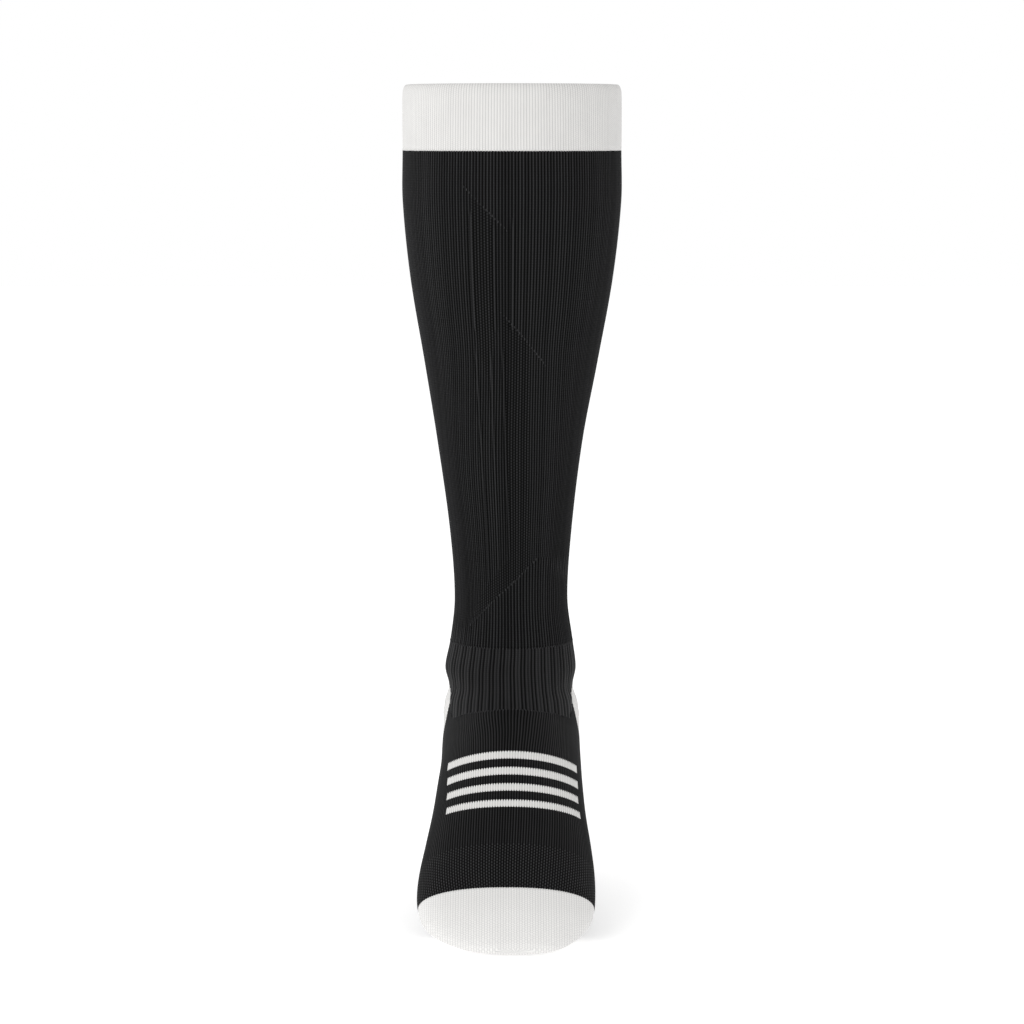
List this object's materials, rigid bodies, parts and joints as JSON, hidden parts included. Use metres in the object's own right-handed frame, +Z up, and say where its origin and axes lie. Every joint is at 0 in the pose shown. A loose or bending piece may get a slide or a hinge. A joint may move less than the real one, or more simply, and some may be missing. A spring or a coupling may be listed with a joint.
{
  "type": "compression stocking",
  "caption": "Knee-high compression stocking, filled out: white doubled cuff, ribbed black leg, ankle band and foot, white heel and closed toe.",
  "frame": {"origin": "middle of the top opening, at the top edge of the cuff, where the wearer's calf holds the stocking up", "axes": "+Z up along the leg, -Y towards the toes, +X towards the big toe's side"},
  "size_m": [0.1178, 0.2207, 0.4351],
  "materials": {
    "cuff_knit": "white plain knit, doubled",
    "leg_knit": "black fine rib knit",
    "ankle_knit": "black two-and-one rib knit",
    "heel_knit": "white plain knit",
    "foot_knit": "black rib knit with white knitted stripes",
    "forefoot_knit": "black plain knit with a fine dotted stitch",
    "toe_knit": "white plain knit"
  },
  "bodies": {
    "root": {"cuff": "cuff_knit", "leg": "leg_knit", "ankle_band": "ankle_knit", "heel": "heel_knit", "foot": "foot_knit", "forefoot": "forefoot_knit", "toe_cap": "toe_knit"}
  },
  "joints": []
}
